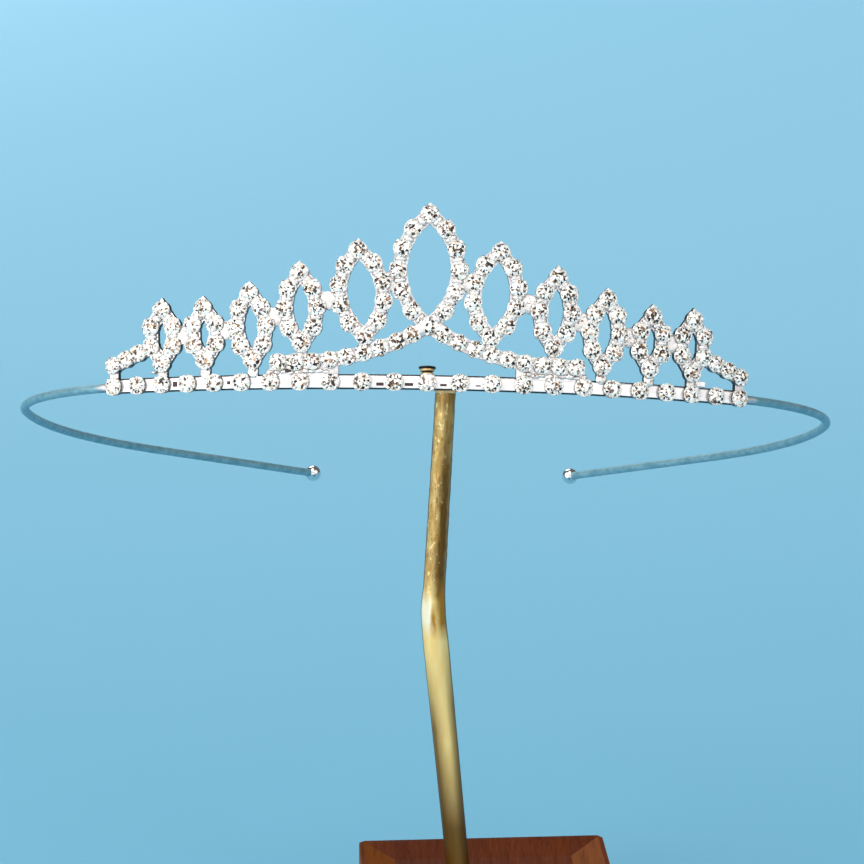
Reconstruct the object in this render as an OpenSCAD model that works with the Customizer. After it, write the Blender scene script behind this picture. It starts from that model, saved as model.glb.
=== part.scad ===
// Mini crown headband on a display stand, in millimetres.
// The origin is the middle of the wooden block's underside. +Z is up and the crown faces -Y.

/* [Headband] */
// Radius of the wide bend across the front of the wire
front_r = 116; // [100:1:150]
// Angle from the middle of the front to the end of the wide bend
front_turn = 23.5; // [20:0.5:26]
// Radius of the tighter bend at each side
side_r = 34; // [28:1:42]
// Radius of the long bend of each arm, behind the widest place
arm_r = 75; // [60:1:100]
// Angle that the left arm bends inwards
left_turn = 41; // [30:1:45]
// Angle that the right arm bends inwards
right_turn = 36; // [30:1:45]
// Straight length at the end of each arm
tail_l = 42; // [30:1:50]
// Diameter of the wire
wire_d = 1.4; // [1:0.1:1.5]
// Length of the solder sleeve over each joint in the wire
sleeve_l = 1; // [0.6:0.1:2]
// Wall of the solder sleeve
sleeve_t = 0.03; // [0.02:0.01:0.06]
// Diameter of the bead on each wire end
tip_d = 3; // [2.6:0.1:4]
// Depth of the hole in each bead
tip_hole_l = 2; // [1.6:0.1:2.2]
// Gap between a bead and the wire in it
tip_gap = 0.05; // [0.03:0.01:0.1]

/* [Crown] */
// Half the length of the base row, along the wire
crown_half_l = 50; // [48:0.1:54]
// Height of the top stone above the base row
crown_h = 26.1; // [25:0.1:29]
// Width of the middle loop, between the middles of its stones
loop_w = 9.2; // [8.8:0.1:9.6]
// Slope of the crown outwards from upright on the wire
crown_lean = 5; // [0:1:12]
// Rough gap between cups around a loop, which sets how many there are
loop_cup_gap = 0.65; // [0.6:0.05:0.9]
// Height of the point over each loop's top stone, above its cup
peak_rise = 0.5; // [0.3:0.05:0.6]
// Number of steps between stones in each half of the base row
base_steps = 11; // [9:1:12]
// Share by which the base row's steps are wider at its middle and narrower at its ends
base_spread = 0.11; // [0:0.01:0.15]
// Height of the end stone of the sloping row above the base row
end_h = 3.3; // [3:0.1:4]

/* [Swag] */
// Height of the swag's low ends above the base row
swag_low = 3.05; // [2.9:0.05:3.4]
// Height that the swag climbs to the foot of the middle loop
swag_rise = 5.65; // [5:0.05:6]
// Distance from the middle to where the swag runs level
swag_reach = 20; // [18:0.5:22]
// Gap between cups along the swag
swag_cup_gap = 0.06; // [0.06:0.02:0.3]
// Number of stones in each half of the swag
swag_count = 9; // [8:1:9]

/* [Stones and cups] */
// Diameter of a stone
stone_d = 2.2; // [1.9:0.05:2.3]
// Width of a stone's flat table, as a share of its diameter
table_share = 0.55; // [0.5:0.01:0.65]
// Height of a stone's table above its rim, as a share of its diameter
table_h_share = 0.19; // [0.14:0.01:0.24]
// Depth of a stone's point below its rim, as a share of its diameter
point_share = 0.35; // [0.3:0.01:0.45]
// Gap between a stone and its cup
stone_gap = 0.05; // [0.03:0.01:0.08]
// Wall of a cup
cup_wall = 0.15; // [0.12:0.01:0.2]
// Floor of a cup
cup_floor = 0.35; // [0.3:0.05:0.6]
// Gap between a stone's point and the floor
point_gap = 0.1; // [0.05:0.01:0.2]
// Height of a cup's wall above the rim of its stone
cup_lip = 0.1; // [0.05:0.01:0.2]
// Height of the flat strip behind the base row
strip_h = 2.3; // [2:0.1:2.5]
// Thickness of the flat strip
strip_t = 0.5; // [0.4:0.05:0.6]
// Depth that the strip is let into the wire
strip_sink = 0.35; // [0.25:0.05:0.4]
// Depth that the cups are let into the strip
cup_sink = 0.2; // [0.1:0.05:0.3]
// Width of the flat band behind the cups of the loops, the swag and the sloping rows
band_w = 2.2; // [1.6:0.1:2.4]
// Thickness of the band
band_t = 0.8; // [0.5:0.1:1]
// Distance from the back of the cups to the back of the band
band_inset = 0.05; // [0.03:0.01:0.1]
// Width of the bar under the foot of each loop
foot_bar_w = 1.5; // [0.8:0.1:1.8]
// Height of the patch of solder between one loop and the next
patch_h = 2.8; // [2:0.1:3]

/* [How the headband hangs] */
// Angle that the arms droop behind the crown
droop = 23.5; // [15:0.5:30]
// Angle that the crown's right end hangs lower than its left
hang_roll = 1.1; // [0:0.1:2]
// Height of the wire's front above the wooden block
hang_h = 85; // [75:1:100]
// Distance of the crown's middle to the left of the block's middle
hang_left = 10.2; // [6:0.1:11]

/* [Stand] */
// Width and depth of the wooden block
block_w = 41; // [38:1:60]
// Height of the wooden block
block_h = 18; // [15:1:30]
// Angle that the block is turned
block_turn = 3.5; // [0:0.5:8]
// Radius of the block's upright corners
block_corner_r = 1; // [0.6:0.1:2]
// Width of the slope around the hollowed top
dish_slope_w = 5; // [3:0.5:7]
// Depth of the hollowed top
dish_depth = 1.2; // [0.8:0.1:2]
// Width of the flat rim around the hollowed top
rim_w = 0.8; // [0.5:0.1:1.5]
// Diameter of the rod where it stands in the block
rod_foot_d = 3.7; // [3.2:0.1:4]
// Diameter of the knuckle where the rod is bent
knuckle_d = 4.1; // [3.8:0.1:4.4]
// Diameter of the rod just above the knuckle
rod_mid_d = 3.5; // [3.2:0.1:3.7]
// Diameter of the rod's top end
rod_top_d = 3.15; // [2.8:0.05:3.2]
// Depth that the rod is let into the block
rod_seat_l = 11; // [8:0.5:13]
// Height of the rod's bend above the block
bend_h = 47.2; // [40:0.5:55]
// Distance of the rod's foot to the left of the block's middle
foot_left = 4.9; // [0:0.1:8]
// Distance of the rod's bend to the left of the block's middle
bend_left = 9.3; // [4:0.1:11]
// Gap between the rod and its hole
rod_gap = 0.05; // [0.03:0.01:0.1]
// Distance from the middle of the wire back to the middle of the rod
rod_back = 1.2; // [1:0.1:1.6]
// Distance of the rod's top to the right of the crown's middle
rod_right = 2.9; // [2.4:0.1:3.2]
// Distance of the rod's top below the middle of the wire
rod_drop = 1.3; // [1.2:0.1:1.6]
// Gap between the rod's saddle and the wire
saddle_gap = 0.05; // [0.03:0.01:0.1]
// Thickness of the saddle under the wire
saddle_t = 0.7; // [0.5:0.1:0.8]
// Height of the bar behind the wire, from the saddle to the peg
peg_bar_h = 1.2; // [0.8:0.1:1.4]
// Diameter of the peg behind the wire
peg_d = 1.8; // [1.5:0.1:2.2]
// Diameter of the peg's flat head
peg_head_d = 2.7; // [2.4:0.1:3.2]
// Thickness of the peg's flat head
peg_head_t = 0.4; // [0.3:0.05:0.6]
// Height of the top of the peg above the middle of the wire
peg_h = 2.9; // [2.4:0.1:3.2]

/* [Hidden] */
round_fn = 48;
cup_fn = 24;
stone_sides = 8;
silver = "silver";
crystal = "whitesmoke";
brass = "darkgoldenrod";
wood = "sienna";

// The loops from the middle outwards.
// [place as a share of the crown's half length, tip as a share of its height, foot in cup widths
// above what carries it, width as a share of the middle loop's, outward lean in degrees]
PLACE = 0;
TIP = 1;
FOOT = 2;
WIDTH = 3;
LEAN = 4;
LOOPS = [
    [0, 1, 0, 1, 0],
    [0.203, 0.785, 1.02, 0.75, 5],
    [0.388, 0.651, 1.09, 0.55, 2],
    [0.543, 0.533, 1.31, 0.52, 3],
    [0.693, 0.452, 1.35, 0.45, 2],
    [0.833, 0.448, 1.27, 0.45, 0]];
LAST_LOOP = len(LOOPS) - 1;
slope_steps = 3;
// The swag's stones from this one outwards are soldered down to the base row
FIRST_SWAG_TIE = 6;

wire_r = wire_d / 2;
front_l = front_r * front_turn * PI / 180;
side_turn = 90 - front_turn;
side_middle = [(front_r - side_r) * sin(front_turn), front_r - (front_r - side_r) * cos(front_turn)];
arm_middle = side_middle + [side_r - arm_r, 0];

pocket_r = stone_d / 2 + stone_gap;
cup_r = pocket_r + cup_wall;
cup_t = cup_floor + point_gap + point_share * stone_d + cup_lip;
peak_h = cup_r + peak_rise;
loop_pitch = 2 * cup_r + loop_cup_gap;
swag_pitch = 2 * cup_r + swag_cup_gap;
// Distances outwards from the middle of the wire
strip_out = wire_r - strip_sink;
cup_out = strip_out + strip_t - cup_sink;
band_out = cup_out + band_inset;
stone_rim_out = cup_out + cup_t - cup_lip;

swag_r = (swag_reach ^ 2 + swag_rise ^ 2) / (2 * swag_rise);
swag_turn = asin(swag_reach / swag_r);
swag_arc_l = swag_r * swag_turn * PI / 180;
// The bars under the loops and the swag end behind the top edge of the strip
bar_lap = 0.3;
bar_end_h = strip_h / 2 - bar_lap;
// The plates under the swag overlap each other a little
tie_lap = 0.1;
tie_w = swag_pitch + tie_lap;

hang_at = [-hang_left, -rod_back * cos(droop), block_h + hang_h];
saddle_top = -wire_r - saddle_gap;
peg_bar_sink = 0.1;
peg_y = wire_r + 2 * saddle_gap + peg_d / 2;
peg_bar_z = saddle_top - peg_bar_sink;
rod_foot = [-foot_left, 0, block_h];
rod_bend = [-bend_left, 0, block_h + bend_h];
rod_top = hang_at + [rod_right, rod_back * cos(droop), -rod_drop];
rod_up = (rod_bend - rod_foot) / norm(rod_bend - rod_foot);

// Heading and place of the wire's middle line, a distance s along it from the crown's middle
function heading(s) = abs(s) <= front_l ? s / front_r * 180 / PI
    : sign(s) * (front_turn + (abs(s) - front_l) / side_r * 180 / PI);
function line_x(s) = abs(s) <= front_l ? front_r * sin(heading(s))
    : sign(s) * (side_middle.x + side_r * sin(abs(heading(s))));
function line_y(s) = abs(s) <= front_l ? front_r * (1 - cos(heading(s)))
    : side_middle.y - side_r * cos(heading(s));

// The swag's middle line: an arc that turns level at swag_reach
function swag_height(x) = x < swag_reach
    ? swag_low + swag_r - sqrt(swag_r ^ 2 - (swag_reach - x) ^ 2)
    : swag_low;
function swag_x(l) = l < swag_arc_l
    ? swag_reach - swag_r * sin(swag_turn - l / swag_r * 180 / PI)
    : swag_reach + l - swag_arc_l;
function carrier_h(x) = x < swag_x(swag_count * swag_pitch) ? swag_height(x) : 0;

// A loop's two sides are arcs that meet at its tip and its foot
function turned(p, a) = [p.x * cos(a) + p.y * sin(a), p.y * cos(a) - p.x * sin(a)];
function loop_x(row) = row[PLACE] * crown_half_l;
function tip_h(row) = row[TIP] * crown_h;
function foot_h(row) = carrier_h(loop_x(row)) + row[FOOT] * 2 * cup_r;
function half_w(row) = row[WIDTH] * loop_w / 2;
function half_h(row) = (tip_h(row) - foot_h(row)) / 2;
function loop_middle(row) = [loop_x(row), (tip_h(row) + foot_h(row)) / 2];
function loop_r(row) = (half_h(row) ^ 2 + half_w(row) ^ 2) / (2 * half_w(row));
function loop_turn(row) = asin(half_h(row) / loop_r(row));
function loop_steps(row) = round(2 * loop_r(row) * loop_turn(row) * PI / 180 / loop_pitch);
function loop_point(row, side, k) =
    let (a = loop_turn(row) * (2 * k / loop_steps(row) - 1))
    let (bulge = loop_r(row) * (cos(a) - 1) + half_w(row))
    loop_middle(row) + turned([side * bulge, loop_r(row) * sin(a)], row[LEAN]);
function loop_foot(row) = loop_point(row, 1, 0);
function loop_tip(row) = loop_point(row, 1, loop_steps(row));

// Middle points of the stones, each as [distance along the wire, height]
function loop_stones(row) = [
    for (k = [0:loop_steps(row)]) loop_point(row, 1, k),
    for (k = [loop_steps(row) - 1:-1:1]) loop_point(row, -1, k)];
function swag_line() = [for (i = [0:swag_count]) let (x = swag_x(i * swag_pitch)) [x, swag_height(x)]];
function slope_line() =
    let (top = loop_point(LOOPS[LAST_LOOP], 1, 1), low = [crown_half_l, end_h])
    [for (i = [0:slope_steps]) top + (low - top) * i / slope_steps];
function base_line() = [
    for (i = [0:base_steps])
        let (share = i / base_steps) [crown_half_l * share * (1 + base_spread * (1 - share)), 0]];
function mirrored(points) = [for (p = points) [-p.x, p.y]];
function after_first(points) = [for (i = [1:len(points) - 1]) points[i]];
function half_crown_stones() = concat(
    [for (i = [1:LAST_LOOP]) each loop_stones(LOOPS[i])],
    after_first(swag_line()), after_first(slope_line()), after_first(base_line()));
function all_stones() = concat(
    loop_stones(LOOPS[0]), [[0, 0]], half_crown_stones(), mirrored(half_crown_stones()));

// Carries its children from the headband's own frame to where it hangs
module hung() {
    translate(hang_at) rotate([-droop, hang_roll, 0]) children();
}

// Carries its children to a point of the crown, with -Y facing outwards
module on_crown(p) {
    translate([line_x(p.x), line_y(p.x), 0])
        rotate([0, 0, heading(p.x)])
            rotate([crown_lean, 0, 0])
                translate([0, 0, p.y])
                    children();
}

// Carries its children to the start of an arm's straight tail, with +Z along it
module at_tail(turn) {
    translate([arm_middle.x + arm_r * cos(turn), arm_middle.y + arm_r * sin(turn), 0])
        rotate([0, 0, turn])
            rotate([-90, 0, 0])
                children();
}

// A section bent to radius r about an axis behind the crown
module bend(r, turn) {
    rotate([0, 0, -90]) rotate_extrude(angle = turn, $fn = 4 * round_fn) translate([r, 0]) children();
}

module wire_section() {
    circle(r = wire_r, $fn = round_fn);
}

module sleeve() {
    cylinder(r = wire_r + sleeve_t, h = sleeve_l, center = true, $fn = round_fn);
}

// A bend of the wire, with a sleeve at its start
module wire_bend(r, turn) {
    bend(r, turn) wire_section();
    translate([0, -r, 0]) rotate([0, 90, 0]) sleeve();
}

module wire_arm(turn) {
    translate(side_middle) rotate([0, 0, front_turn]) wire_bend(side_r, side_turn);
    translate(arm_middle) rotate([0, 0, 90]) wire_bend(arm_r, turn);
    at_tail(turn) sleeve();
    at_tail(turn) cylinder(r = wire_r, h = tail_l, $fn = round_fn);
}

module wire() {
    translate([0, front_r, 0]) rotate([0, 0, -front_turn]) bend(front_r, 2 * front_turn) wire_section();
    wire_arm(right_turn);
    mirror([1, 0, 0]) wire_arm(left_turn);
}

module strip_section() {
    translate([strip_out, -strip_h / 2]) square([strip_t, strip_h]);
}

module strip() {
    wide_turn = min(front_turn, heading(crown_half_l));
    end_turn = heading(crown_half_l) - front_turn;
    translate([0, front_r, 0]) rotate([0, 0, -wide_turn]) bend(front_r, 2 * wide_turn) strip_section();
    if (end_turn > 0)
        for (side = [0, 1]) mirror([side, 0, 0])
            translate(side_middle) rotate([0, 0, front_turn]) bend(side_r, end_turn) strip_section();
}

module cup(p) {
    on_crown(p) rotate([90, 0, 0]) translate([0, 0, cup_out]) cylinder(r = cup_r, h = cup_t, $fn = cup_fn);
}

module pocket(p) {
    on_crown(p) rotate([90, 0, 0]) translate([0, 0, cup_out + cup_floor])
        cylinder(r = pocket_r, h = cup_t, $fn = cup_fn);
}

// A flat bar of width w behind the cups, from point a to point b
module link(a, b, w) {
    on_crown((a + b) / 2)
        rotate([0, -atan2(b.y - a.y, b.x - a.x), 0])
            translate([-norm(b - a) / 2, -band_out - band_t, -w / 2])
                cube([norm(b - a), band_t, w]);
}

module chain(points) {
    for (i = [1:len(points) - 1]) link(points[i - 1], points[i], band_w);
}

// A loop's flat band, with the pointed tab that rises over its top stone
module loop_band(row) {
    middle = loop_middle(row);
    outline = [for (p = loop_stones(row)) p - middle];
    on_crown(middle) translate([0, -band_out, 0]) rotate([90, 0, 0]) linear_extrude(band_t)
        difference() {
            offset(delta = band_w / 2) polygon(outline);
            offset(delta = -band_w / 2) polygon(outline);
        }
    side = peak_h / sqrt(2);
    on_crown(loop_tip(row)) translate([0, -band_out - band_t, peak_h])
        rotate([0, 135, 0])
            cube([side, band_t, side]);
}

// The patch of solder between a loop and the one inside it
module loop_joint(inner_row, outer_row) {
    inner = loop_middle(inner_row) + [half_w(inner_row), 0];
    outer = loop_middle(outer_row) - [half_w(outer_row), 0];
    h = (inner.y + outer.y) / 2;
    link([inner.x, h], [outer.x, h], patch_h);
}

module half_crown_bands() {
    for (i = [1:LAST_LOOP]) {
        foot = loop_foot(LOOPS[i]);
        loop_band(LOOPS[i]);
        loop_joint(LOOPS[i - 1], LOOPS[i]);
        link(foot, [foot.x, max(carrier_h(foot.x), bar_end_h)], foot_bar_w);
    }
    chain(swag_line());
    for (i = [FIRST_SWAG_TIE:swag_count]) link(swag_line()[i], [swag_line()[i].x, bar_end_h], tie_w);
    chain(slope_line());
    link([crown_half_l, end_h], [crown_half_l, bar_end_h], foot_bar_w);
}

module headband_frame() {
    color(silver) hung() difference() {
        union() {
            wire();
            strip();
            for (p = all_stones()) cup(p);
            loop_band(LOOPS[0]);
            half_crown_bands();
            mirror([1, 0, 0]) half_crown_bands();
        }
        for (p = all_stones()) pocket(p);
    }
}

module tip(turn) {
    color(silver) at_tail(turn) difference() {
        translate([0, 0, tail_l - tip_hole_l + tip_d / 2]) sphere(d = tip_d, $fn = round_fn);
        translate([0, 0, tail_l - tip_hole_l - tip_d / 2])
            cylinder(r = wire_r + tip_gap, h = tip_hole_l + tip_d / 2 + tip_gap, $fn = round_fn);
    }
}

module left_tip() {
    hung() mirror([1, 0, 0]) tip(left_turn);
}

module right_tip() {
    hung() tip(right_turn);
}

// A round cut stone: a flat table, two facets between it and each side of the rim, and a point
module stone(p) {
    step = 360 / stone_sides;
    rim_r = stone_d / 2;
    table_r = table_share * rim_r;
    points = concat(
        [for (i = [0:stone_sides - 1]) [rim_r * cos(i * step), rim_r * sin(i * step), 0]],
        [for (i = [0:stone_sides - 1])
            [table_r * cos((i + 0.5) * step), table_r * sin((i + 0.5) * step), table_h_share * stone_d]],
        [[0, 0, -point_share * stone_d]]);
    sides = [for (i = [0:stone_sides - 1]) [i, (i + 1) % stone_sides]];
    faces = concat(
        [[for (i = [stone_sides - 1:-1:0]) stone_sides + i]],
        [for (s = sides) [s[0], stone_sides + s[0], s[1]]],
        [for (s = sides) [s[1], stone_sides + s[0], stone_sides + s[1]]],
        [for (s = sides) [s[1], 2 * stone_sides, s[0]]]);
    on_crown(p) rotate([90, 0, 0]) translate([0, 0, stone_rim_out]) polyhedron(points, faces);
}

module stones(points) {
    color(crystal) hung() for (p = points) stone(p);
}

module base_stones() {
    stones(concat(base_line(), mirrored(after_first(base_line()))));
}

module swag_stones() {
    stones(concat(after_first(swag_line()), mirrored(after_first(swag_line()))));
}

module slope_stones() {
    stones(concat(after_first(slope_line()), mirrored(after_first(slope_line()))));
}

module centre_loop_stones() {
    stones(loop_stones(LOOPS[0]));
}

module left_loop_stones(i) {
    stones(mirrored(loop_stones(LOOPS[i])));
}

module right_loop_stones(i) {
    stones(loop_stones(LOOPS[i]));
}

module rod_piece(a, b, d_a, d_b) {
    v = b - a;
    translate(a) rotate([0, acos(v.z / norm(v)), atan2(v.y, v.x)])
        cylinder(d1 = d_a, d2 = d_b, h = norm(v), $fn = round_fn);
}

// The plate under the wire, and the bar and headed peg behind it
module saddle() {
    translate([rod_right - rod_top_d / 2, 0, saddle_top - saddle_t])
        cube([rod_top_d, peg_y + peg_d / 2, saddle_t]);
    translate([-peg_d / 2, peg_y - peg_d / 2, peg_bar_z])
        cube([rod_right + rod_top_d / 2 + peg_d / 2, peg_d, peg_bar_h]);
    translate([0, peg_y, peg_bar_z]) cylinder(d = peg_d, h = peg_h - peg_bar_z, $fn = round_fn);
    translate([0, peg_y, peg_h - peg_head_t]) cylinder(d = peg_head_d, h = peg_head_t, $fn = round_fn);
}

module stand_rod() {
    color(brass) {
        rod_piece(rod_foot - rod_up * rod_seat_l, rod_foot, rod_foot_d, rod_foot_d);
        rod_piece(rod_foot, rod_bend, rod_foot_d, knuckle_d);
        translate(rod_bend) sphere(d = knuckle_d, $fn = round_fn);
        rod_piece(rod_bend, rod_top, rod_mid_d, rod_top_d);
        hung() saddle();
    }
}

module rod_hole() {
    hole_d = rod_foot_d + 2 * rod_gap;
    rod_piece(rod_foot - rod_up * (rod_seat_l + rod_gap), rod_foot + rod_up * rod_foot_d, hole_d, hole_d);
}

module block_outline() {
    w = block_w - 2 * block_corner_r;
    offset(r = block_corner_r) square([w, w], center = true);
}

module dish() {
    dish_w = block_w - 2 * rim_w;
    translate([0, 0, block_h]) mirror([0, 0, 1])
        linear_extrude(dish_depth, scale = (dish_w - 2 * dish_slope_w) / dish_w)
            square([dish_w, dish_w], center = true);
}

module stand_block() {
    color(wood) difference() {
        rotate([0, 0, block_turn]) difference() {
            linear_extrude(block_h) block_outline();
            dish();
        }
        rod_hole();
    }
}

headband_frame();
left_tip();
right_tip();
base_stones();
swag_stones();
slope_stones();
centre_loop_stones();
left_loop_stones(1);  // left_loop_1_stones
left_loop_stones(2);  // left_loop_2_stones
left_loop_stones(3);  // left_loop_3_stones
left_loop_stones(4);  // left_loop_4_stones
left_loop_stones(5);  // left_loop_5_stones
right_loop_stones(1);  // right_loop_1_stones
right_loop_stones(2);  // right_loop_2_stones
right_loop_stones(3);  // right_loop_3_stones
right_loop_stones(4);  // right_loop_4_stones
right_loop_stones(5);  // right_loop_5_stones
stand_rod();
stand_block();
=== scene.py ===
"""Mini crown headband on a bent brass rod and a wooden block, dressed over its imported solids."""

import math
import random

import bmesh
import bpy
from mathutils import Matrix, Vector, noise


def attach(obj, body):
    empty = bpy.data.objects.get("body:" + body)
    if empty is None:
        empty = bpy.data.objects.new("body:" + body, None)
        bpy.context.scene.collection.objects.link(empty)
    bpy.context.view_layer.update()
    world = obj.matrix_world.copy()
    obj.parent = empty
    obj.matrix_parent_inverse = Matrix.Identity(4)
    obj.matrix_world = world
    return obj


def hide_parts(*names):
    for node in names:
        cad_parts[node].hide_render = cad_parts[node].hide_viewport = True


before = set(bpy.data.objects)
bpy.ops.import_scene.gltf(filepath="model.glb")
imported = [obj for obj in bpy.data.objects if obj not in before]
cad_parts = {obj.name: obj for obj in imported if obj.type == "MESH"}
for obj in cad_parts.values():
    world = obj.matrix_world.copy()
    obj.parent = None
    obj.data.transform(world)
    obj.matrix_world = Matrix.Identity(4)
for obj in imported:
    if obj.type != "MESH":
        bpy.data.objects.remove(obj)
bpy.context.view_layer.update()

MM = 0.001

# How the crown hangs, as in the part's source
WIRE_DROOP = math.radians(23.5)
HANG_ROLL = math.radians(1.1)
CROWN_LEAN = math.radians(5)
HUNG_AT = Vector((-10.2, -1.2 * math.cos(WIRE_DROOP), 103)) * MM
HUNG = Matrix.Translation(HUNG_AT) @ Matrix.Rotation(HANG_ROLL, 4, "Y") @ Matrix.Rotation(-WIRE_DROOP, 4, "X")
WIRE_UP = HUNG.to_3x3() @ Vector((0, 0, 1))
LEANING = HUNG.to_3x3() @ Matrix.Rotation(CROWN_LEAN, 3, "X")
CROWN_OUT = (LEANING @ Vector((0, -1, 0))).normalized()
CROWN_UP = (LEANING @ Vector((0, 0, 1))).normalized()

STONE_R = 1.1 * MM
CUP_R = 1.3 * MM
# A stone's flat table: its radius and its height over the rim, as shares of the stone's radius
TABLE_SHARE = 0.62
TABLE_RISE = 0.38
# Fronts of the plates and of the bands, outwards from the plane of the stones' rims
PLATE_FRONT = -0.4 * MM
BAND_FRONT = -0.37 * MM

# The wide bend of the wire, and how far outside its middle the strip ends and the stones' rims lie
FRONT_BEND = 116 * MM
STRIP_EDGE = 0.9 * MM
RIM_OUT = 1.87 * MM

LOOPS = [f"left_loop_{i}_stones" for i in range(5, 0, -1)] + ["centre_loop_stones"]
LOOPS += [f"right_loop_{i}_stones" for i in range(1, 6)]
STONE_NODES = ["base_stones", "swag_stones", "slope_stones", "centre_loop_stones"]
STONE_NODES += [f"{side}_loop_{i}_stones" for side in ("left", "right") for i in range(1, 6)]

rng = random.Random(11)


def colour(r, g, b):
    """A colour given as it looks on a screen, 0 to 255"""
    return tuple((c / 255) ** 2.2 for c in (r, g, b)) + (1,)


# Painted shade, put into side walls and along edges
PAINTED_SIDE_SHADE = colour(36, 32, 34)


# Shader maths

class Level:
    """A socket's number, worked on with Python's operators"""

    def __init__(self, finish, socket):
        self.finish = finish
        self.socket = socket

    def maths(self, operation, *values):
        inputs = dict(enumerate(values))
        return Level(self.finish, self.finish.node("ShaderNodeMath", {"operation": operation}, inputs))

    def __add__(self, other):
        return self.maths("ADD", self, other)

    def __sub__(self, other):
        return self.maths("SUBTRACT", self, other)

    def __rsub__(self, other):
        return self.maths("SUBTRACT", other, self)

    def __mul__(self, other):
        return self.maths("MULTIPLY", self, other)

    def __abs__(self):
        return self.maths("ABSOLUTE", self)

    def root(self):
        return self.maths("SQRT", self)

    def within(self, low, high):
        """0 at low and 1 at high, held between them"""
        share = (self - low) * (1 / (high - low))
        return share.maths("MINIMUM", share.maths("MAXIMUM", share, 0.0), 1.0)

    __radd__ = __add__
    __rmul__ = __mul__


class Finish:
    """A procedural material on Object coordinates"""

    def __init__(self, name):
        self.material = bpy.data.materials.new(name)
        self.material.use_nodes = True
        self.tree = self.material.node_tree
        self.tree.nodes.clear()
        self.place = self.node("ShaderNodeTexCoord", out="Object")

    def node(self, kind, settings=None, inputs=None, out=0):
        made = self.tree.nodes.new(kind)
        for name, value in (settings or {}).items():
            setattr(made, name, value)
        for name, value in (inputs or {}).items():
            value = value.socket if isinstance(value, Level) else value
            if isinstance(value, bpy.types.NodeSocket):
                self.tree.links.new(value, made.inputs[name])
            else:
                made.inputs[name].default_value = value
        return made.outputs[out]

    def level(self, kind, settings=None, inputs=None, out=0):
        return Level(self, self.node(kind, settings, inputs, out))

    def stretched(self, scale):
        return self.node("ShaderNodeMapping", None, {"Vector": self.place, "Scale": scale})

    def grain(self, size, place=None, detail=4.0, distortion=0.0):
        """Noise with features of about the given size in metres"""
        return self.level("ShaderNodeTexNoise", None, {
            "Vector": place or self.place, "Scale": 1 / size, "Detail": detail,
            "Roughness": 0.55, "Distortion": distortion})

    def along(self, vector, direction):
        return self.level("ShaderNodeVectorMath", {"operation": "DOT_PRODUCT"},
                          {0: vector, 1: tuple(direction)}, out="Value")

    def place_along(self, direction):
        return self.along(self.place, direction)

    def normal_along(self, direction):
        return self.along(self.node("ShaderNodeTexCoord", out="Normal"), direction)

    def mix(self, share, a, b):
        return self.node("ShaderNodeMix", {"data_type": "RGBA"}, {0: share, 6: a, 7: b}, out=2)

    def bump(self, height, depth):
        return self.node("ShaderNodeBump", None, {"Height": height, "Distance": depth, "Strength": 1.0})

    def surface(self, **values):
        shader = self.node("ShaderNodeBsdfPrincipled", None,
                           {name.replace("_", " "): value for name, value in values.items()}, out="BSDF")
        end = self.tree.nodes.new("ShaderNodeOutputMaterial")
        self.tree.links.new(shader, end.inputs["Surface"])
        return self.material


def hung_place(f, axis):
    """How far a point of the headband lies along one of its own axes, from the middle of the wire"""
    axis = HUNG.to_3x3() @ Vector(axis)
    return f.place_along(axis) - HUNG.translation.dot(axis)


def faced(f, tone, low=0.45, high=0.8):
    """A tone where the crown is seen face on, with painted shade in its side walls"""
    return f.mix(abs(f.normal_along(CROWN_OUT)).within(low, high), PAINTED_SIDE_SHADE, tone)


# Finishes

def frame_silver():
    """The bands and cups, with painted shade in their side walls and along the strip's edges, and the greyer
    wire with a painted blue reflection
    """
    f = Finish("plated silver frame")
    patches = f.grain(0.0009, detail=3.0)
    tone = f.mix(patches.within(0.38, 0.62), colour(214, 207, 211), colour(250, 245, 243))
    # Painted shade in the side walls
    tone = faced(f, tone)
    across = hung_place(f, (1, 0, 0))
    back = hung_place(f, (0, 1, 0))
    from_bend = back - FRONT_BEND
    from_centre = (across * across + from_bend * from_bend).root()
    on_strip = from_centre.within(FRONT_BEND + STRIP_EDGE + 0.0001, FRONT_BEND + STRIP_EDGE)
    # Painted shade along the strip's top and bottom edges, except on faces that look up
    up = abs(hung_place(f, (0, 0, 1)))
    not_on_top = f.normal_along(WIRE_UP).within(0.95, 0.85)
    edge = up.within(0.00092, 0.00098) * up.within(0.00125, 0.0012) * not_on_top
    tone = f.mix(edge * on_strip, tone, PAINTED_SIDE_SHADE)
    streaks = f.grain(0.0012, f.stretched((0.15, 1, 1)))
    # The wire is tinted blue-grey: a painted reflection of the blue floor
    wire = f.mix(streaks.within(0.35, 0.7), colour(102, 150, 166), colour(138, 180, 194))
    is_wire = back.within(0.0112, 0.0125)
    tone = f.mix(is_wire, tone, wire)
    return f.surface(Base_Color=tone, Metallic=0.5 - is_wire * 0.15,
                     Roughness=patches * 0.2 + is_wire * 0.15 + 0.15,
                     Normal=f.bump(patches, 0.00004))


def bright_silver():
    f = Finish("bright silver setting")
    patches = f.grain(0.0008, detail=3.0)
    tone = f.mix(patches.within(0.35, 0.6), colour(230, 222, 217), colour(255, 251, 243))
    specks = f.grain(0.00045, detail=2.0)
    tone = f.mix(specks.within(0.58, 0.61), tone, colour(112, 88, 74))
    # Painted shade in the side walls
    return f.surface(Base_Color=faced(f, tone, 0.25, 0.6), Metallic=0.3, Roughness=patches * 0.2 + 0.12,
                     Normal=f.bump(patches, 0.00005))


def plate_silver():
    f = Finish("bright silver plate")
    patches = f.grain(0.0016, detail=3.0)
    tone = f.mix(patches.within(0.35, 0.6), colour(240, 233, 235), colour(255, 252, 250))
    # Painted shade in the side walls
    return f.surface(Base_Color=faced(f, tone, 0.25, 0.6), Metallic=0.5, Roughness=patches * 0.15 + 0.15)


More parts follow.
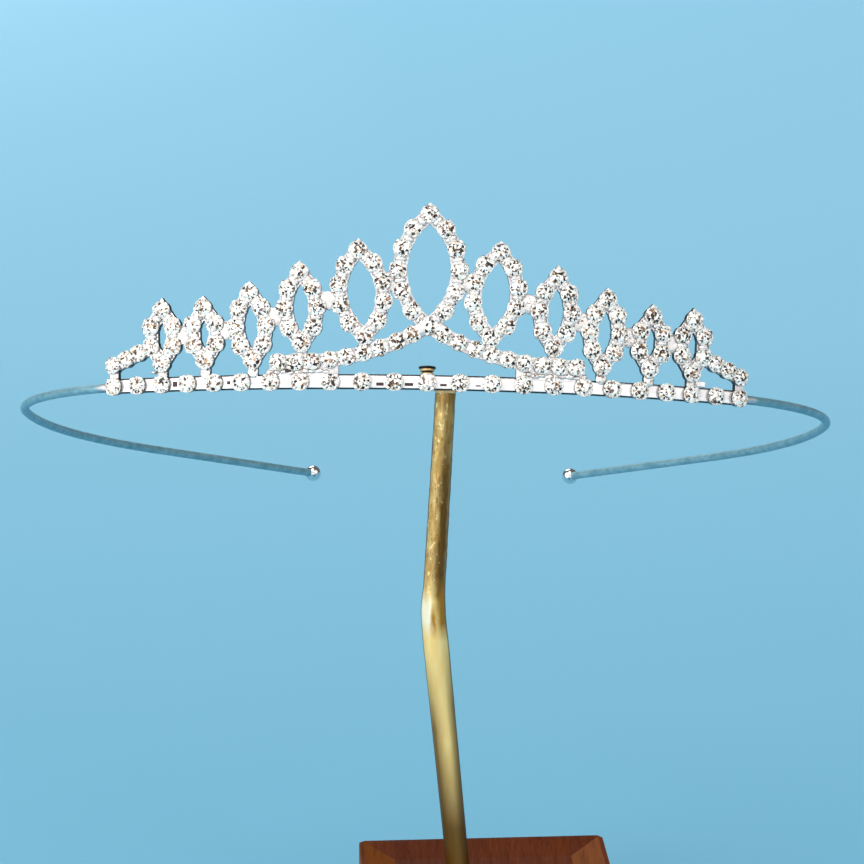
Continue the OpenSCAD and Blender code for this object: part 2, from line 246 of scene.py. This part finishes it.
def solder_silver():
    f = Finish("silver solder")
    patches = f.grain(0.001, detail=4.0)
    tone = f.mix(patches.within(0.35, 0.65), colour(226, 219, 218), colour(255, 250, 245))
    specks = f.grain(0.0005, detail=2.0)
    tone = f.mix(specks.within(0.6, 0.64), tone, colour(150, 124, 108))
    # Painted shade in the side walls
    return f.surface(Base_Color=faced(f, tone, 0.15, 0.4), Metallic=0.5, Roughness=patches * 0.2 + 0.2,
                     Normal=f.bump(patches, 0.0001))


def ball_silver():
    f = Finish("polished silver ball")
    haze = f.grain(0.002)
    tone = f.mix(haze, colour(205, 208, 212), colour(240, 241, 243))
    return f.surface(Base_Color=tone, Metallic=1.0, Roughness=haze * 0.08 + 0.04)


def cut_crystal():
    f = Finish("cut crystal on foil")
    # Painted reflections: each facet's flat tone and the dark specks stand in for what the facets mirror
    facet = f.node("ShaderNodeAttribute", {"attribute_name": "painted_facet_reflection"}, out="Color")
    specks = f.grain(0.0004, detail=2.0)
    tone = f.mix(specks.within(0.62, 0.66), facet, colour(96, 76, 62))
    return f.surface(Base_Color=tone, Metallic=0.1, Roughness=specks * 0.1 + 0.05,
                     Coat_Weight=0.1, Coat_Roughness=0.02)


def hammered_brass():
    """Beaten and flecked above the bend, smooth and pale round it, with painted shade on its right and low
    down, painted glints and a painted highlight
    """
    f = Finish("hammered brass rod")
    height = f.place_along((0, 0, 1))
    uneven = f.grain(0.0035, detail=3.0) * 0.5 - 0.25
    normal_x = f.normal_along((1, 0, 0))
    to_right = normal_x + uneven
    wavy = height + uneven * 0.004
    beaten = wavy.within(0.0675, 0.0715)
    streaks = f.grain(0.0008, f.stretched((1, 1, 0.2)), detail=5.0, distortion=0.3)
    flecks = f.grain(0.0006, f.stretched((1, 1, 0.5)), detail=2.0)
    # The beaten run, with painted shade on its right, and darker and browner towards its top
    upper = f.mix(streaks.within(0.36, 0.64), colour(190, 142, 76), colour(224, 186, 122))
    shade = to_right.within(-0.3, 0.3) * (1 - to_right.within(0.6, 0.85) * 0.4)
    shade = shade * (1 - height.within(0.088, 0.098) * 0.6)
    upper = f.mix(shade * 0.92, upper, colour(92, 58, 8))
    upper = f.mix(height.within(0.0975, 0.1) * 0.45, upper, colour(136, 84, 22))
    # Painted glints: pale flecks on the left, lit side only
    upper = f.mix(flecks.within(0.6, 0.68) * to_right.within(0.5, -0.1), upper, colour(255, 226, 156))
    upper = f.mix(flecks.within(0.4, 0.32) * 0.6, upper, colour(120, 74, 14))
    # The smooth run, with painted shade on its right round and above the bend, a dark tongue, and a pale flat
    # at the bend painted as a highlight
    smooth = f.mix(streaks.within(0.3, 0.7), colour(255, 208, 128), colour(255, 222, 150))
    shade_above_bend = to_right.within(-0.05, 0.4) * wavy.within(0.065, 0.069)
    smooth = f.mix(shade_above_bend * 0.95, smooth, colour(112, 70, 14))
    smooth = f.mix(to_right.within(0.15, 0.6) * wavy.within(0.0608, 0.064), smooth, colour(176, 120, 40))
    tongue = wavy.within(0.0615, 0.0638) * wavy.within(0.0675, 0.065)
    tongue = to_right.within(-0.4, -0.15) * to_right.within(0.3, 0.05) * tongue
    smooth = f.mix(tongue, smooth, colour(190, 128, 36))
    # Painted highlight on the beaten flat at the bend
    pale = wavy.within(0.0615, 0.0643) * wavy.within(0.07, 0.0668)
    smooth = f.mix(to_right.within(-0.05, -0.4) * pale, smooth, colour(255, 238, 205))
    tone = f.mix(beaten, smooth, upper)
    # Painted shade on both sides low down and along the outline, and darker towards the block
    tone = f.mix(normal_x.within(0.15, -0.75) * height.within(0.059, 0.046) * 0.9, tone, colour(104, 70, 12))
    tone = f.mix(normal_x.within(0.35, 0.85) * height.within(0.06, 0.05) * 0.8, tone, colour(124, 84, 24))
    tone = f.mix(height.within(0.044, 0.029) * 0.9, tone, colour(84, 56, 10))
    tone = f.mix(abs(normal_x).within(0.88, 0.99), tone, colour(76, 54, 16))
    return f.surface(Base_Color=tone, Metallic=0.35, Roughness=streaks * 0.15 + 0.27, Specular_IOR_Level=0.2,
                     Normal=f.bump(streaks, 0.00006))


def dark_brass():
    """Dark brown on the peg's cap, with painted shade in its groove, paler on its neck and on the saddle"""
    f = Finish("browned brass peg")
    patches = f.grain(0.0006)
    neck = f.mix(patches.within(0.35, 0.65), colour(206, 164, 104), colour(252, 226, 176))
    up = hung_place(f, (0, 0, 1))
    # Painted shade in the peg's groove
    groove = up.within(0.0018, 0.00186) * up.within(0.0021, 0.00204)
    tone = f.mix(up.within(0.00238, 0.00246) + groove, neck, colour(34, 26, 18))
    return f.surface(Base_Color=tone, Metallic=0.5, Roughness=patches * 0.2 + 0.3)


def recess_dark():
    # Painted shade, for the boxes where the plates' slots are dark
    f = Finish("dark recess")
    patches = f.grain(0.0004)
    tone = f.mix(patches, colour(40, 26, 28), colour(84, 62, 62))
    return f.surface(Base_Color=tone, Metallic=0.2, Roughness=patches * 0.3 + 0.4)


def stained_wood():
    f = Finish("stained wood")
    grain_way = f.stretched((1, 0.1, 1))
    fibres = f.grain(0.0009, grain_way, detail=6.0, distortion=0.4)
    bands = f.grain(0.006, grain_way, detail=3.0, distortion=0.8)
    tone = f.mix(bands.within(0.3, 0.7), colour(76, 33, 6), colour(94, 44, 10))
    sideways = abs(f.normal_along((1, 0, 0))).within(0.05, 0.15)
    tone = f.mix(sideways, tone, colour(112, 60, 14))
    tone = f.mix(fibres.within(0.52, 0.75) * 0.5, tone, colour(54, 24, 4))
    return f.surface(Base_Color=tone, Roughness=fibres * 0.25 + 0.4, Specular_IOR_Level=0.06,
                     Normal=f.bump(fibres, 0.00015))


def pale_floor():
    f = Finish("pale blue floor")
    back = f.place_along((0, 1, 0))
    to_left = f.place_along((-1, 0, 0))
    speckle = f.grain(0.05) * 0.03
    # Painted light: a little lighter towards the back, and lighter at the far left
    tone = f.mix(back.within(0.05, 0.45) + speckle, colour(110, 177, 207), colour(126, 185, 213))
    tone = f.mix(to_left.within(0.02, 0.22) * back.within(0.4, 1.1), tone, colour(140, 195, 223))
    return f.surface(Base_Color=tone, Roughness=0.9)


# Meshes

def merged_copy(name):
    """A node's loose triangles as one joined mesh, with its flat faces whole"""
    bm = bmesh.new()
    bm.from_mesh(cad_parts[name].data)
    bmesh.ops.remove_doubles(bm, verts=bm.verts[:], dist=1e-7)
    bmesh.ops.dissolve_limit(bm, angle_limit=math.radians(1), verts=bm.verts[:], edges=bm.edges[:])
    return bm


def stone_spots(name):
    """For each stone of a node, its rim's middle and its axis, read from its table facet"""
    bm = merged_copy(name)
    spots = [(face.calc_center_median() - face.normal * (TABLE_RISE * STONE_R), face.normal.copy())
             for face in bm.faces if len(face.verts) == 8]
    bm.free()
    return spots


def facing(middle, axis, along):
    """The transform that carries +Z to a stone's axis and +X as near as it can to along"""
    x = (along - axis * along.dot(axis)).normalized()
    return Matrix.Translation(middle) @ Matrix((x, axis.cross(x), axis)).transposed().to_4x4()


def chain_direction(spots, i):
    """The direction from a stone to its nearest neighbour in the same chain"""
    middle = spots[i][0]
    others = [spot[0] for k, spot in enumerate(spots) if k != i]
    return min(others, key=lambda other: (other - middle).length) - middle


def outwards(distance):
    return Matrix.Translation((0, 0, distance))


def crown_place(s, h):
    """The transform to a point s along the wire and h up the crown: +X along it, +Z outwards from the rims"""
    turn = s * MM / FRONT_BEND
    at = Vector((math.sin(turn), 1 - math.cos(turn), 0)) * FRONT_BEND
    on_wire = HUNG @ Matrix.Translation(at) @ Matrix.Rotation(turn, 4, "Z")
    up_crown = Matrix.Rotation(CROWN_LEAN, 4, "X") @ Matrix.Translation((0, 0, h * MM))
    return on_wire @ up_crown @ Matrix.Rotation(math.pi / 2, 4, "X") @ outwards(RIM_OUT)


def mesh_of(bm, name="shape"):
    mesh = bpy.data.meshes.new(name)
    bm.to_mesh(mesh)
    bm.free()
    return mesh


def piece(name, mesh, material, replaces=(), smooth=False):
    mesh.materials.append(material)
    if smooth:
        mesh.shade_smooth()
    made = bpy.data.objects.new(name, mesh)
    bpy.context.scene.collection.objects.link(made)
    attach(made, "root")
    if replaces:
        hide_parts(*replaces)
    return made


def repeated(shapes, places, name):
    bm = bmesh.new()
    for shape, place in zip(shapes, places):
        start = len(bm.verts)
        bm.from_mesh(shape)
        bm.verts.ensure_lookup_table()
        bmesh.ops.transform(bm, matrix=place, verts=bm.verts[start:])
    return mesh_of(bm, name)


def rounded_box(bm, size, at, edge):
    """A box of the given size with rounded edges, placed by a matrix"""
    verts = bmesh.ops.create_cube(bm, size=1, matrix=Matrix.Diagonal((*size, 1)))["verts"]
    edges = {e for v in verts for e in v.link_edges}
    bevelled = bmesh.ops.bevel(bm, geom=list(edges), offset=edge, segments=2, profile=0.5,
                               affect="EDGES", material=-1, clamp_overlap=True)
    verts = {v for v in verts if v.is_valid} | set(bevelled["verts"])
    bmesh.ops.transform(bm, matrix=at, verts=list(verts))


# Stones and their settings

def cut_stone(kind):
    """One round cut stone, a little uneven: table, star, kite and rim facets, and a pointed back"""
    uneven = random.Random(kind)
    bm = bmesh.new()
    # Corners, radius and height as shares of the stone's radius, and turn
    rings = [(8, TABLE_SHARE, TABLE_RISE, 22.5), (8, 0.88, 0.27, 0), (16, 1.12, 0.12, 11.25),
             (16, 1.0, -0.05, 11.25)]
    for corners, r, z, turn in rings:
        at = Matrix.Translation((0, 0, z * STONE_R)) @ Matrix.Rotation(math.radians(turn), 4, "Z")
        bmesh.ops.create_circle(bm, segments=corners, radius=r * STONE_R, matrix=at)
    bm.verts.new((0, 0, -0.7 * STONE_R))
    bmesh.ops.convex_hull(bm, input=bm.verts[:])
    bmesh.ops.dissolve_limit(bm, angle_limit=math.radians(1), verts=bm.verts[:], edges=bm.edges[:])
    table = [face for face in bm.faces if len(face.verts) == 8]
    bmesh.ops.inset_region(bm, faces=table, thickness=0.24 * STONE_R)
    middle = bmesh.ops.poke(bm, faces=table)["verts"]
    inner = {v for made in middle for edge in made.link_edges for v in edge.verts}
    for v in sorted(inner, key=lambda v: math.atan2(v.co.y, v.co.x)):
        v.co.x += uneven.uniform(-0.12, 0.12) * STONE_R
        v.co.y += uneven.uniform(-0.12, 0.12) * STONE_R
    return mesh_of(bm, f"cut stone {kind}")


# Painted reflections for the stones' facets, from white through warm and brown to near black
PAINTED_FACET_REFLECTIONS = [(255, 255, 251), (226, 222, 222), (255, 238, 216), (192, 160, 134), (116, 84, 62),
               (30, 22, 19)]
# How often each painted reflection comes, at the crown's left end and from its middle to its right end
LEFT_SHARES = [0.40, 0.20, 0.13, 0.12, 0.09, 0.06]
RIGHT_SHARES = [0.42, 0.11, 0.08, 0.08, 0.10, 0.21]
# Where the left end's mixture stops, and how far to the right of it the other one is reached
LEFT_END_X = -58 * MM
LEFT_END_FADE = 30 * MM


def paint_facets(mesh):
    """Gives each facet one flat painted reflection: mostly white, some dark and a few warm, with fewer dark
    at the left
    """
    tones = mesh.attributes.new("painted_facet_reflection", "FLOAT_COLOR", "FACE")
    for face, value in zip(mesh.polygons, tones.data):
        share = min(1.0, max(0.0, (face.center.x - LEFT_END_X) / LEFT_END_FADE))
        weights = [a + (b - a) * share for a, b in zip(LEFT_SHARES, RIGHT_SHARES)]
        value.color = colour(*rng.choices(PAINTED_FACET_REFLECTIONS, weights)[0])


# Half sizes of the claws' tips in millimetres
BROAD_TIP = (0.26, 0.36, 0.16, 1)
NARROW_TIP = (0.17, 0.2, 0.16, 1)


def setting():
    """The flared lip, the four broad claws and the four narrow ones of one cup"""
    bm = bmesh.new()
    lip = Matrix.Translation((CUP_R + 0.04 * MM, 0, 0.02 * MM)) @ Matrix.Rotation(math.pi / 2, 4, "X")
    bmesh.ops.create_circle(bm, segments=5, radius=0.12 * MM, matrix=lip)
    bmesh.ops.spin(bm, geom=bm.verts[:] + bm.edges[:], axis=(0, 0, 1), cent=(0, 0, 0), steps=16,
                   angle=2 * math.pi, use_merge=True)
    bmesh.ops.remove_doubles(bm, verts=bm.verts[:], dist=1e-7)
    for i in range(4):
        broad = Matrix.Rotation(math.radians(45 + 90 * i), 4, "Z")
        shank = broad @ Matrix.Translation((CUP_R, 0, -0.35 * MM)) @ Matrix.Diagonal((0.65, 1, 1, 1))
        bmesh.ops.create_cone(bm, cap_ends=True, segments=6, radius1=0.28 * MM, radius2=0.38 * MM,
                              depth=1.0 * MM, matrix=shank)
        tip = broad @ Matrix.Translation((CUP_R - 0.06 * MM, 0, 0.2 * MM))
        bmesh.ops.create_icosphere(bm, subdivisions=1, radius=MM, matrix=tip @ Matrix.Diagonal(BROAD_TIP))
        narrow = Matrix.Rotation(math.radians(90 * i), 4, "Z")
        tip = narrow @ Matrix.Translation((CUP_R, 0, 0.14 * MM))
        bmesh.ops.create_icosphere(bm, subdivisions=1, radius=MM, matrix=tip @ Matrix.Diagonal(NARROW_TIP))
    bmesh.ops.recalc_face_normals(bm, faces=bm.faces[:])
    return mesh_of(bm, "one cup's setting")


# The cups of the swag and of the sloping rows are a little narrower
NARROW_ROWS = ("swag_stones", "slope_stones")
NARROW_CUP = 0.95


def set_stones(spots_of, crystal, bright):
    """The cut stones, one piece for each chain, and all their settings as one piece"""
    stone_kinds = [cut_stone(kind) for kind in range(4)]
    setting_shape = setting()
    setting_places = []
    for node, spots in spots_of.items():
        places = [facing(middle, axis, chain_direction(spots, i)) for i, (middle, axis) in enumerate(spots)]
        stones = [rng.choice(stone_kinds) for place in places]
        turned = [place @ Matrix.Rotation(rng.uniform(0, 2 * math.pi), 4, "Z") for place in places]
        mesh = repeated(stones, turned, node)
        paint_facets(mesh)
        piece(node.replace("_stones", "_cut_stones"), mesh, crystal, [node])
        width = NARROW_CUP if node in NARROW_ROWS else 1.0
        setting_places += [place @ Matrix.Diagonal((width, width, 1, 1)) for place in places]
    piece("cup_settings", repeated([setting_shape] * len(setting_places), setting_places, "cup_settings"),
          bright)


# Solder, with the half sizes of its lumps in millimetres: along the crown, up it and outwards

LINK = (0.5, 0.95, 0.32)
FOOT = (0.85, 0.9, 0.2)
JOINT_UP = 1.5
JOINT_OUT = 0.2
# How far below its lowest stone a loop's foot lies
HIGH_LOOP_FOOT = 1.5
LOW_LOOP_FOOT = 1.9
# The patch at the foot of the middle loop: place along the crown and up it, turn, and half sizes
MIDDLE_PATCH = [(-1.6, 7.9, 0.35, (2.3, 1.05, 0.35)), (1.9, 8.3, -0.5, (1.5, 0.9, 0.35))]
# The row of lumps between each end of the swag and the base row
SWAG_END = 15.4
SWAG_END_STEP = 1.1
SWAG_END_COUNT = 9
SWAG_END_UP = 1.55


def solder(bm, at, half_size, detail=3):
    """An uneven lump of solder with the given half sizes in millimetres"""
    verts = bmesh.ops.create_icosphere(bm, subdivisions=detail, radius=1)["verts"]
    for v in verts:
        v.co *= 1 + 0.22 * noise.noise(v.co * 1.6 + at.translation / MM)
    bmesh.ops.transform(bm, matrix=at @ Matrix.Diagonal((*[half * MM for half in half_size], 1)), verts=verts)


def mean_height(spots):
    """The mean height of a loop's stones, up the crown"""
    return sum(spot[0].dot(CROWN_UP) for spot in spots) / len(spots)


def link_cups(bm, spots):
    """Links between the neighbouring cups of a loop"""
    pairs = [(a, b) for i, a in enumerate(spots) for b in spots[i + 1:]]
    pitch = min((b[0] - a[0]).length for a, b in pairs)
    for a, b in pairs:
        if (b[0] - a[0]).length < 1.06 * pitch:
            at = facing((a[0] + b[0]) / 2, (a[1] + b[1]).normalized(), b[0] - a[0])
            solder(bm, at @ outwards(-0.15 * MM), LINK, detail=2)


def join_loops(bm, left, right):
    """The flat patch between two neighbouring loops, halfway between their nearest stones"""
    a, b = min(((a, b) for a in left for b in right), key=lambda pair: (pair[1][0] - pair[0][0]).length)
    middle = (a[0] + b[0]) / 2
    height = (mean_height(left) + mean_height(right)) / 2
    middle += CROWN_UP * (height - middle.dot(CROWN_UP))
    across = b[0] - a[0]
    across -= CROWN_UP * across.dot(CROWN_UP)
    at = facing(middle, (a[1] + b[1]).normalized(), across)
    solder(bm, at @ outwards(BAND_FRONT), (across.length / 2 / MM - 0.2, JOINT_UP, JOINT_OUT))


def crown_solder(spots_of):
    bm = bmesh.new()
    for node in LOOPS:
        spots = spots_of[node]
        link_cups(bm, spots)
        low, axis = min(spots, key=lambda spot: spot[0].dot(CROWN_UP))
        if node != "centre_loop_stones":
            under = HIGH_LOOP_FOOT if node.endswith("loop_1_stones") else LOW_LOOP_FOOT
            at = facing(low - CROWN_UP * under * MM, axis, CROWN_OUT.cross(CROWN_UP))
            solder(bm, at @ outwards(BAND_FRONT), FOOT)
    for left, right in zip(LOOPS, LOOPS[1:]):
        join_loops(bm, spots_of[left], spots_of[right])
    for s, h, turn, half_size in MIDDLE_PATCH:
        solder(bm, crown_place(s, h) @ Matrix.Rotation(turn, 4, "Z"), half_size)
    for side in (-1, 1):
        for k in range(SWAG_END_COUNT):
            s = side * (SWAG_END + k * SWAG_END_STEP)
            lump = (rng.uniform(0.5, 0.8), rng.uniform(0.35, 0.55), rng.uniform(0.2, 0.35))
            at = crown_place(s, SWAG_END_UP + rng.uniform(-0.15, 0.15))
            solder(bm, at @ outwards(BAND_FRONT), lump, detail=2)
    # The small tab over the base row, left of the outermost loop's foot
    solder(bm, crown_place(-43.1, 1.95) @ outwards(-0.5 * MM), (0.65, 0.22, 0.3), detail=2)
    return mesh_of(bm)


# Plates between the cups of the base row

PLATE_HEIGHT = 1.85 * MM
PLATE_THICK = 0.8 * MM
# How far a plate reaches into the cups beside it, both sides together
PLATE_LAP = 0.3 * MM
# Dark boxes painted as the shade in some of the plates' slots: [cell counted from the middle, shift to the
# right, width, height]
SLOTS = [(-2, 0.27, 1.15, 0.5), (-1, -0.25, 1.3, 0.48), (0, 0, 1.0, 0.36), (1, 0.35, 0.8, 0.2),
         (-9, 0, 0.8, 0.85), (-7, 0.1, 0.6, 0.55)]
# The slots near the middle lie low in their plates
MIDDLE_CELLS = (-2, -1, 0, 1)
SLOT_LOW = -0.33


def base_cells(spots):
    """For each gap between two cups of the base row, from the left, its transform and its clear width"""
    row = sorted(spots, key=lambda spot: spot[0].x)
    return [(facing((a + b) / 2, (a_axis + b_axis).normalized(), b - a), (b - a).length - 2 * CUP_R)
            for (a, a_axis), (b, b_axis) in zip(row, row[1:])]


def base_plates(cells):
    """The bright plates, and the short bar right of the outermost loop's foot"""
    bm = bmesh.new()
    for at, gap in cells:
        rounded_box(bm, (gap + PLATE_LAP, PLATE_HEIGHT, PLATE_THICK),
                    at @ outwards(PLATE_FRONT - PLATE_THICK / 2), 0.1 * MM)
    rounded_box(bm, Vector((1.7, 0.9, 0.5)) * MM, crown_place(43.4, 1.75) @ outwards(-0.9 * MM), 0.1 * MM)
    return mesh_of(bm)


def painted_slot_shade(cells):
    """Dark boxes painted as the shade in the plates' slots, and a dark patch painted as shade under the
    swag's left end
    """
    bm = bmesh.new()
    for cell, shift, width, height in SLOTS:
        lower = SLOT_LOW if cell in MIDDLE_CELLS else 0
        at = cells[len(cells) // 2 + cell][0]
        rounded_box(bm, (width * MM, height * MM, 0.3 * MM),
                    at @ Matrix.Translation((shift * MM, lower * MM, PLATE_FRONT - 0.13 * MM)), 0.02 * MM)
    rounded_box(bm, Vector((1.0, 0.6, 0.4)) * MM,
                crown_place(-21.3, 1.75) @ outwards(BAND_FRONT + 0.15 * MM), 0.1 * MM)
    return mesh_of(bm)


# The rod, hammered and bent

ROD_FOOT = Vector((-4.9, 0, 18)) * MM
ROD_BEND = Vector((-9.3, 0, 65.2)) * MM
ROD_TOP = Vector((-7.3, 0, 101.7)) * MM
ROD_SEAT = 11 * MM
LOW_RUN_UP = (ROD_BEND - ROD_FOOT).normalized()
HIGH_RUN_UP = (ROD_TOP - ROD_BEND).normalized()
ROD_START = ROD_FOOT - LOW_RUN_UP * ROD_SEAT
LOW_RUN = (ROD_BEND - ROD_START).length
ROD_LENGTH = LOW_RUN + (ROD_TOP - ROD_BEND).length
# Half the length over which the bend is eased
BEND_EASE = 2.2 * MM
# Length above the lower end, and radius in millimetres there
ROD_RADII = [(0, 1.85), (ROD_SEAT, 1.85), (LOW_RUN - 6 * MM, 2.05), (LOW_RUN + 0.5 * MM, 1.98),
             (LOW_RUN + 4 * MM, 1.76), (ROD_LENGTH, 1.575)]
# The beaten flat at the bend, facing left and to the front, and the dent below it, in millimetres
FLAT_OUT = Vector((-0.66, -0.74, 0.1)).normalized()
FLAT_Z = 66.2
FLAT_HALF = 3.2
FLAT_CUT = 0.9
DENT_X = -9.55
DENT_Z = 63.2
DENT_DEPTH = 0.05


def rod_point(l):
    """The rod's middle and direction at length l above its lower end, eased round the bend"""
    if l < LOW_RUN - BEND_EASE:
        return ROD_START + LOW_RUN_UP * l, LOW_RUN_UP
    if l > LOW_RUN + BEND_EASE:
        return ROD_BEND + HIGH_RUN_UP * (l - LOW_RUN), HIGH_RUN_UP
    t = (l - LOW_RUN + BEND_EASE) / (2 * BEND_EASE)
    a, b = ROD_BEND - LOW_RUN_UP * BEND_EASE, ROD_BEND + HIGH_RUN_UP * BEND_EASE
    at = a * (1 - t) ** 2 + ROD_BEND * 2 * t * (1 - t) + b * t ** 2
    return at, ((ROD_BEND - a) * (1 - t) + (b - ROD_BEND) * t).normalized()


def rod_radius(l):
    for (l0, r0), (l1, r1) in zip(ROD_RADII, ROD_RADII[1:]):
        if l <= l1 + 1e-9:
            return (r0 + (r1 - r0) * (l - l0) / (l1 - l0)) * MM
    return ROD_RADII[-1][1] * MM


def hammered_rod():
    bm = bmesh.new()
    bmesh.ops.create_cone(bm, cap_ends=True, segments=56, radius1=1, radius2=1, depth=1)
    upright = [e for e in bm.edges if abs(e.verts[0].co.z - e.verts[1].co.z) > 0.5]
    bmesh.ops.subdivide_edges(bm, edges=upright, cuts=300, use_grid_fill=True)
    for v in bm.verts:
        l = (v.co.z + 0.5) * ROD_LENGTH
        middle, direction = rod_point(l)
        side = Vector((0, 1, 0)).cross(direction).normalized()
        front = direction.cross(side)
        out = (side * v.co.x + front * v.co.y).normalized()
        r = rod_radius(l)
        p = (middle + out * r) / MM
        rough = 0.015 + 0.05 * min(1, max(0, (p.z - 68) / 8))
        beaten = noise.noise(Vector((p.x * 1.5, p.y * 1.5, p.z * 0.5)))
        fine = noise.noise(Vector((p.x * 3, p.y * 3, p.z * 1.2 + 40)))
        r += rough * (beaten + 0.6 * fine) * MM
        flat = max(0.0, 1 - abs(p.z - FLAT_Z) / FLAT_HALF)
        reach = out.dot(FLAT_OUT)
        if flat > 0 and reach > 0.5:
            r = min(r, r * (1 - flat) + flat * rod_radius(l) * FLAT_CUT / reach)
        if p.y < 0:
            r -= DENT_DEPTH * MM * math.exp(-((p.x - DENT_X) / 0.45) ** 2 - ((p.z - DENT_Z) / 0.9) ** 2)
        v.co = middle + out * r
    return mesh_of(bm, "hammered_rod")


# What holds the wire: the turned peg behind it, and the saddle under it

PEG_BACK = 1.7
# The peg's outline: radius and height in millimetres
PEG_OUTLINE = [(0, -0.8), (0.82, -0.8), (0.82, 1.3), (0.95, 1.4), (1.1, 1.55), (1.12, 1.7), (0.9, 1.8),
               (0.82, 1.9), (0.86, 2.02), (1.14, 2.1), (1.18, 2.25), (1.05, 2.38), (1.1, 2.46), (1.32, 2.5),
               (1.36, 2.62), (1.3, 2.8), (0.9, 2.88), (0, 2.9)]
# The saddle's boxes: size and middle in millimetres, as the wire hangs, and rounding
SADDLE_BOXES = [((3.15, 2.6, 0.7), (2.9, 1.3, -1.1), 0.15),
                ((5.375, 1.8, 1.2), (1.7875, PEG_BACK, -0.25), 0.2)]


def turned_peg():
    bm = bmesh.new()
    verts = [bm.verts.new(Vector((r, 0, z)) * MM) for r, z in PEG_OUTLINE]
    edges = [bm.edges.new(pair) for pair in zip(verts, verts[1:])]
    bmesh.ops.spin(bm, geom=verts + edges, axis=(0, 0, 1), cent=(0, 0, 0), steps=32, angle=2 * math.pi,
                   use_merge=True)
    bmesh.ops.remove_doubles(bm, verts=bm.verts[:], dist=1e-7)
    bmesh.ops.recalc_face_normals(bm, faces=bm.faces[:])
    at = HUNG @ Matrix.Translation(Vector((0, PEG_BACK, 0)) * MM)
    bmesh.ops.transform(bm, matrix=at, verts=bm.verts[:])
    return mesh_of(bm)


def wire_saddle():
    bm = bmesh.new()
    for size, middle, edge in SADDLE_BOXES:
        rounded_box(bm, Vector(size) * MM, HUNG @ Matrix.Translation(Vector(middle) * MM), edge * MM)
    return mesh_of(bm)


def softened_block():
    """The block with its outer edges softened, and those of the rod's hole left as they are"""
    bm = merged_copy("stand_block")
    sharp = []
    for e in bm.edges:
        from_hole = Vector((e.verts[0].co.x - ROD_FOOT.x, e.verts[0].co.y - ROD_FOOT.y)).length
        rise = abs(e.verts[0].co.z - e.verts[1].co.z)
        if e.calc_face_angle(0) > math.radians(8) and from_hole > 3.5 * MM and rise < 12 * MM:
            sharp.append(e)
    bmesh.ops.bevel(bm, geom=sharp, offset=0.4 * MM, segments=3, profile=0.5, affect="EDGES", material=-1,
                    clamp_overlap=True)
    return mesh_of(bm)


# Camera, floor and lights

WARM_WHITE = (1, 0.985, 0.96)


def set_camera():
    """The camera looks down at the crown from in front"""
    data = bpy.data.cameras.new("camera")
    data.sensor_width = 36
    data.lens = 135.4
    data.clip_start = 0.01
    camera = bpy.data.objects.new("camera", data)
    camera.location = (-0.00943, -0.4860, 0.23419)
    camera.rotation_euler = (math.radians(74), 0, 0)
    bpy.context.scene.collection.objects.link(camera)
    bpy.context.scene.camera = camera


def lay_floor():
    bm = bmesh.new()
    bmesh.ops.create_circle(bm, cap_ends=True, segments=64, radius=6)
    mesh = mesh_of(bm, "floor")
    mesh.materials.append(pale_floor())
    floor = bpy.data.objects.new("floor", mesh)
    bpy.context.scene.collection.objects.link(floor)


def soft_light(name, at, size, watts, tint):
    """A square lamp that faces the middle of the floor"""
    data = bpy.data.lights.new(name, "AREA")
    data.size = size
    data.energy = watts
    data.color = tint
    light = bpy.data.objects.new(name, data)
    light.location = at
    light.rotation_euler = (Vector(at) * -1).to_track_quat("-Z", "Y").to_euler()
    bpy.context.scene.collection.objects.link(light)


def wide_sun(name, azimuth, elevation, strength, spread):
    """A soft disc of light; azimuth 0 is in front of the crown and 90 is on its right"""
    data = bpy.data.lights.new(name, "SUN")
    data.energy = strength
    data.angle = math.radians(spread)
    data.color = WARM_WHITE
    light = bpy.data.objects.new(name, data)
    light.rotation_euler = (math.radians(90 - elevation), 0, math.radians(azimuth))
    bpy.context.scene.collection.objects.link(light)


def light_room():
    wide_sun("front light", 0, 30, 1.15, 70)
    wide_sun("left light", -60, 30, 1.5, 60)
    wide_sun("right light", 55, 28, 0.6, 50)
    wide_sun("high light", -20, 75, 0.7, 30)
    soft_light("low light", (-0.55, -0.5, 0.12), 0.3, 1.5, (1, 0.93, 0.82))
    soft_light("far light", (-0.5, 1.6, 1.4), 1.2, 14, (1, 1, 1))
    world = bpy.data.worlds.new("room")
    world.use_nodes = True
    background = world.node_tree.nodes["Background"]
    background.inputs["Color"].default_value = colour(222, 222, 222)
    background.inputs["Strength"].default_value = 0.22
    bpy.context.scene.world = world
    bpy.context.scene.view_settings.view_transform = "Standard"


set_camera()

ball = ball_silver()
for node, finish in (("headband_frame", frame_silver()), ("left_tip", ball), ("right_tip", ball)):
    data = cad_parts[node].data
    data.materials.clear()
    data.materials.append(finish)

spots_of = {node: stone_spots(node) for node in STONE_NODES}
set_stones(spots_of, cut_crystal(), bright_silver())
piece("solder", crown_solder(spots_of), solder_silver(), smooth=True)
cells = base_cells(spots_of["base_stones"])
piece("base_plates", base_plates(cells), plate_silver())
# Painted shade: dark boxes in the plates' slots
piece("painted_slot_shade", painted_slot_shade(cells), recess_dark())

# The peg's finish: dark on its cap, with painted shade in its groove
dark_and_shaded = dark_brass()
piece("hammered_rod", hammered_rod(), hammered_brass(), ["stand_rod"], smooth=True)
piece("peg", turned_peg(), dark_and_shaded, ["stand_rod"], smooth=True)
piece("saddle", wire_saddle(), dark_and_shaded, ["stand_rod"])
piece("wooden_block", softened_block(), stained_wood(), ["stand_block"])

lay_floor()
light_room()
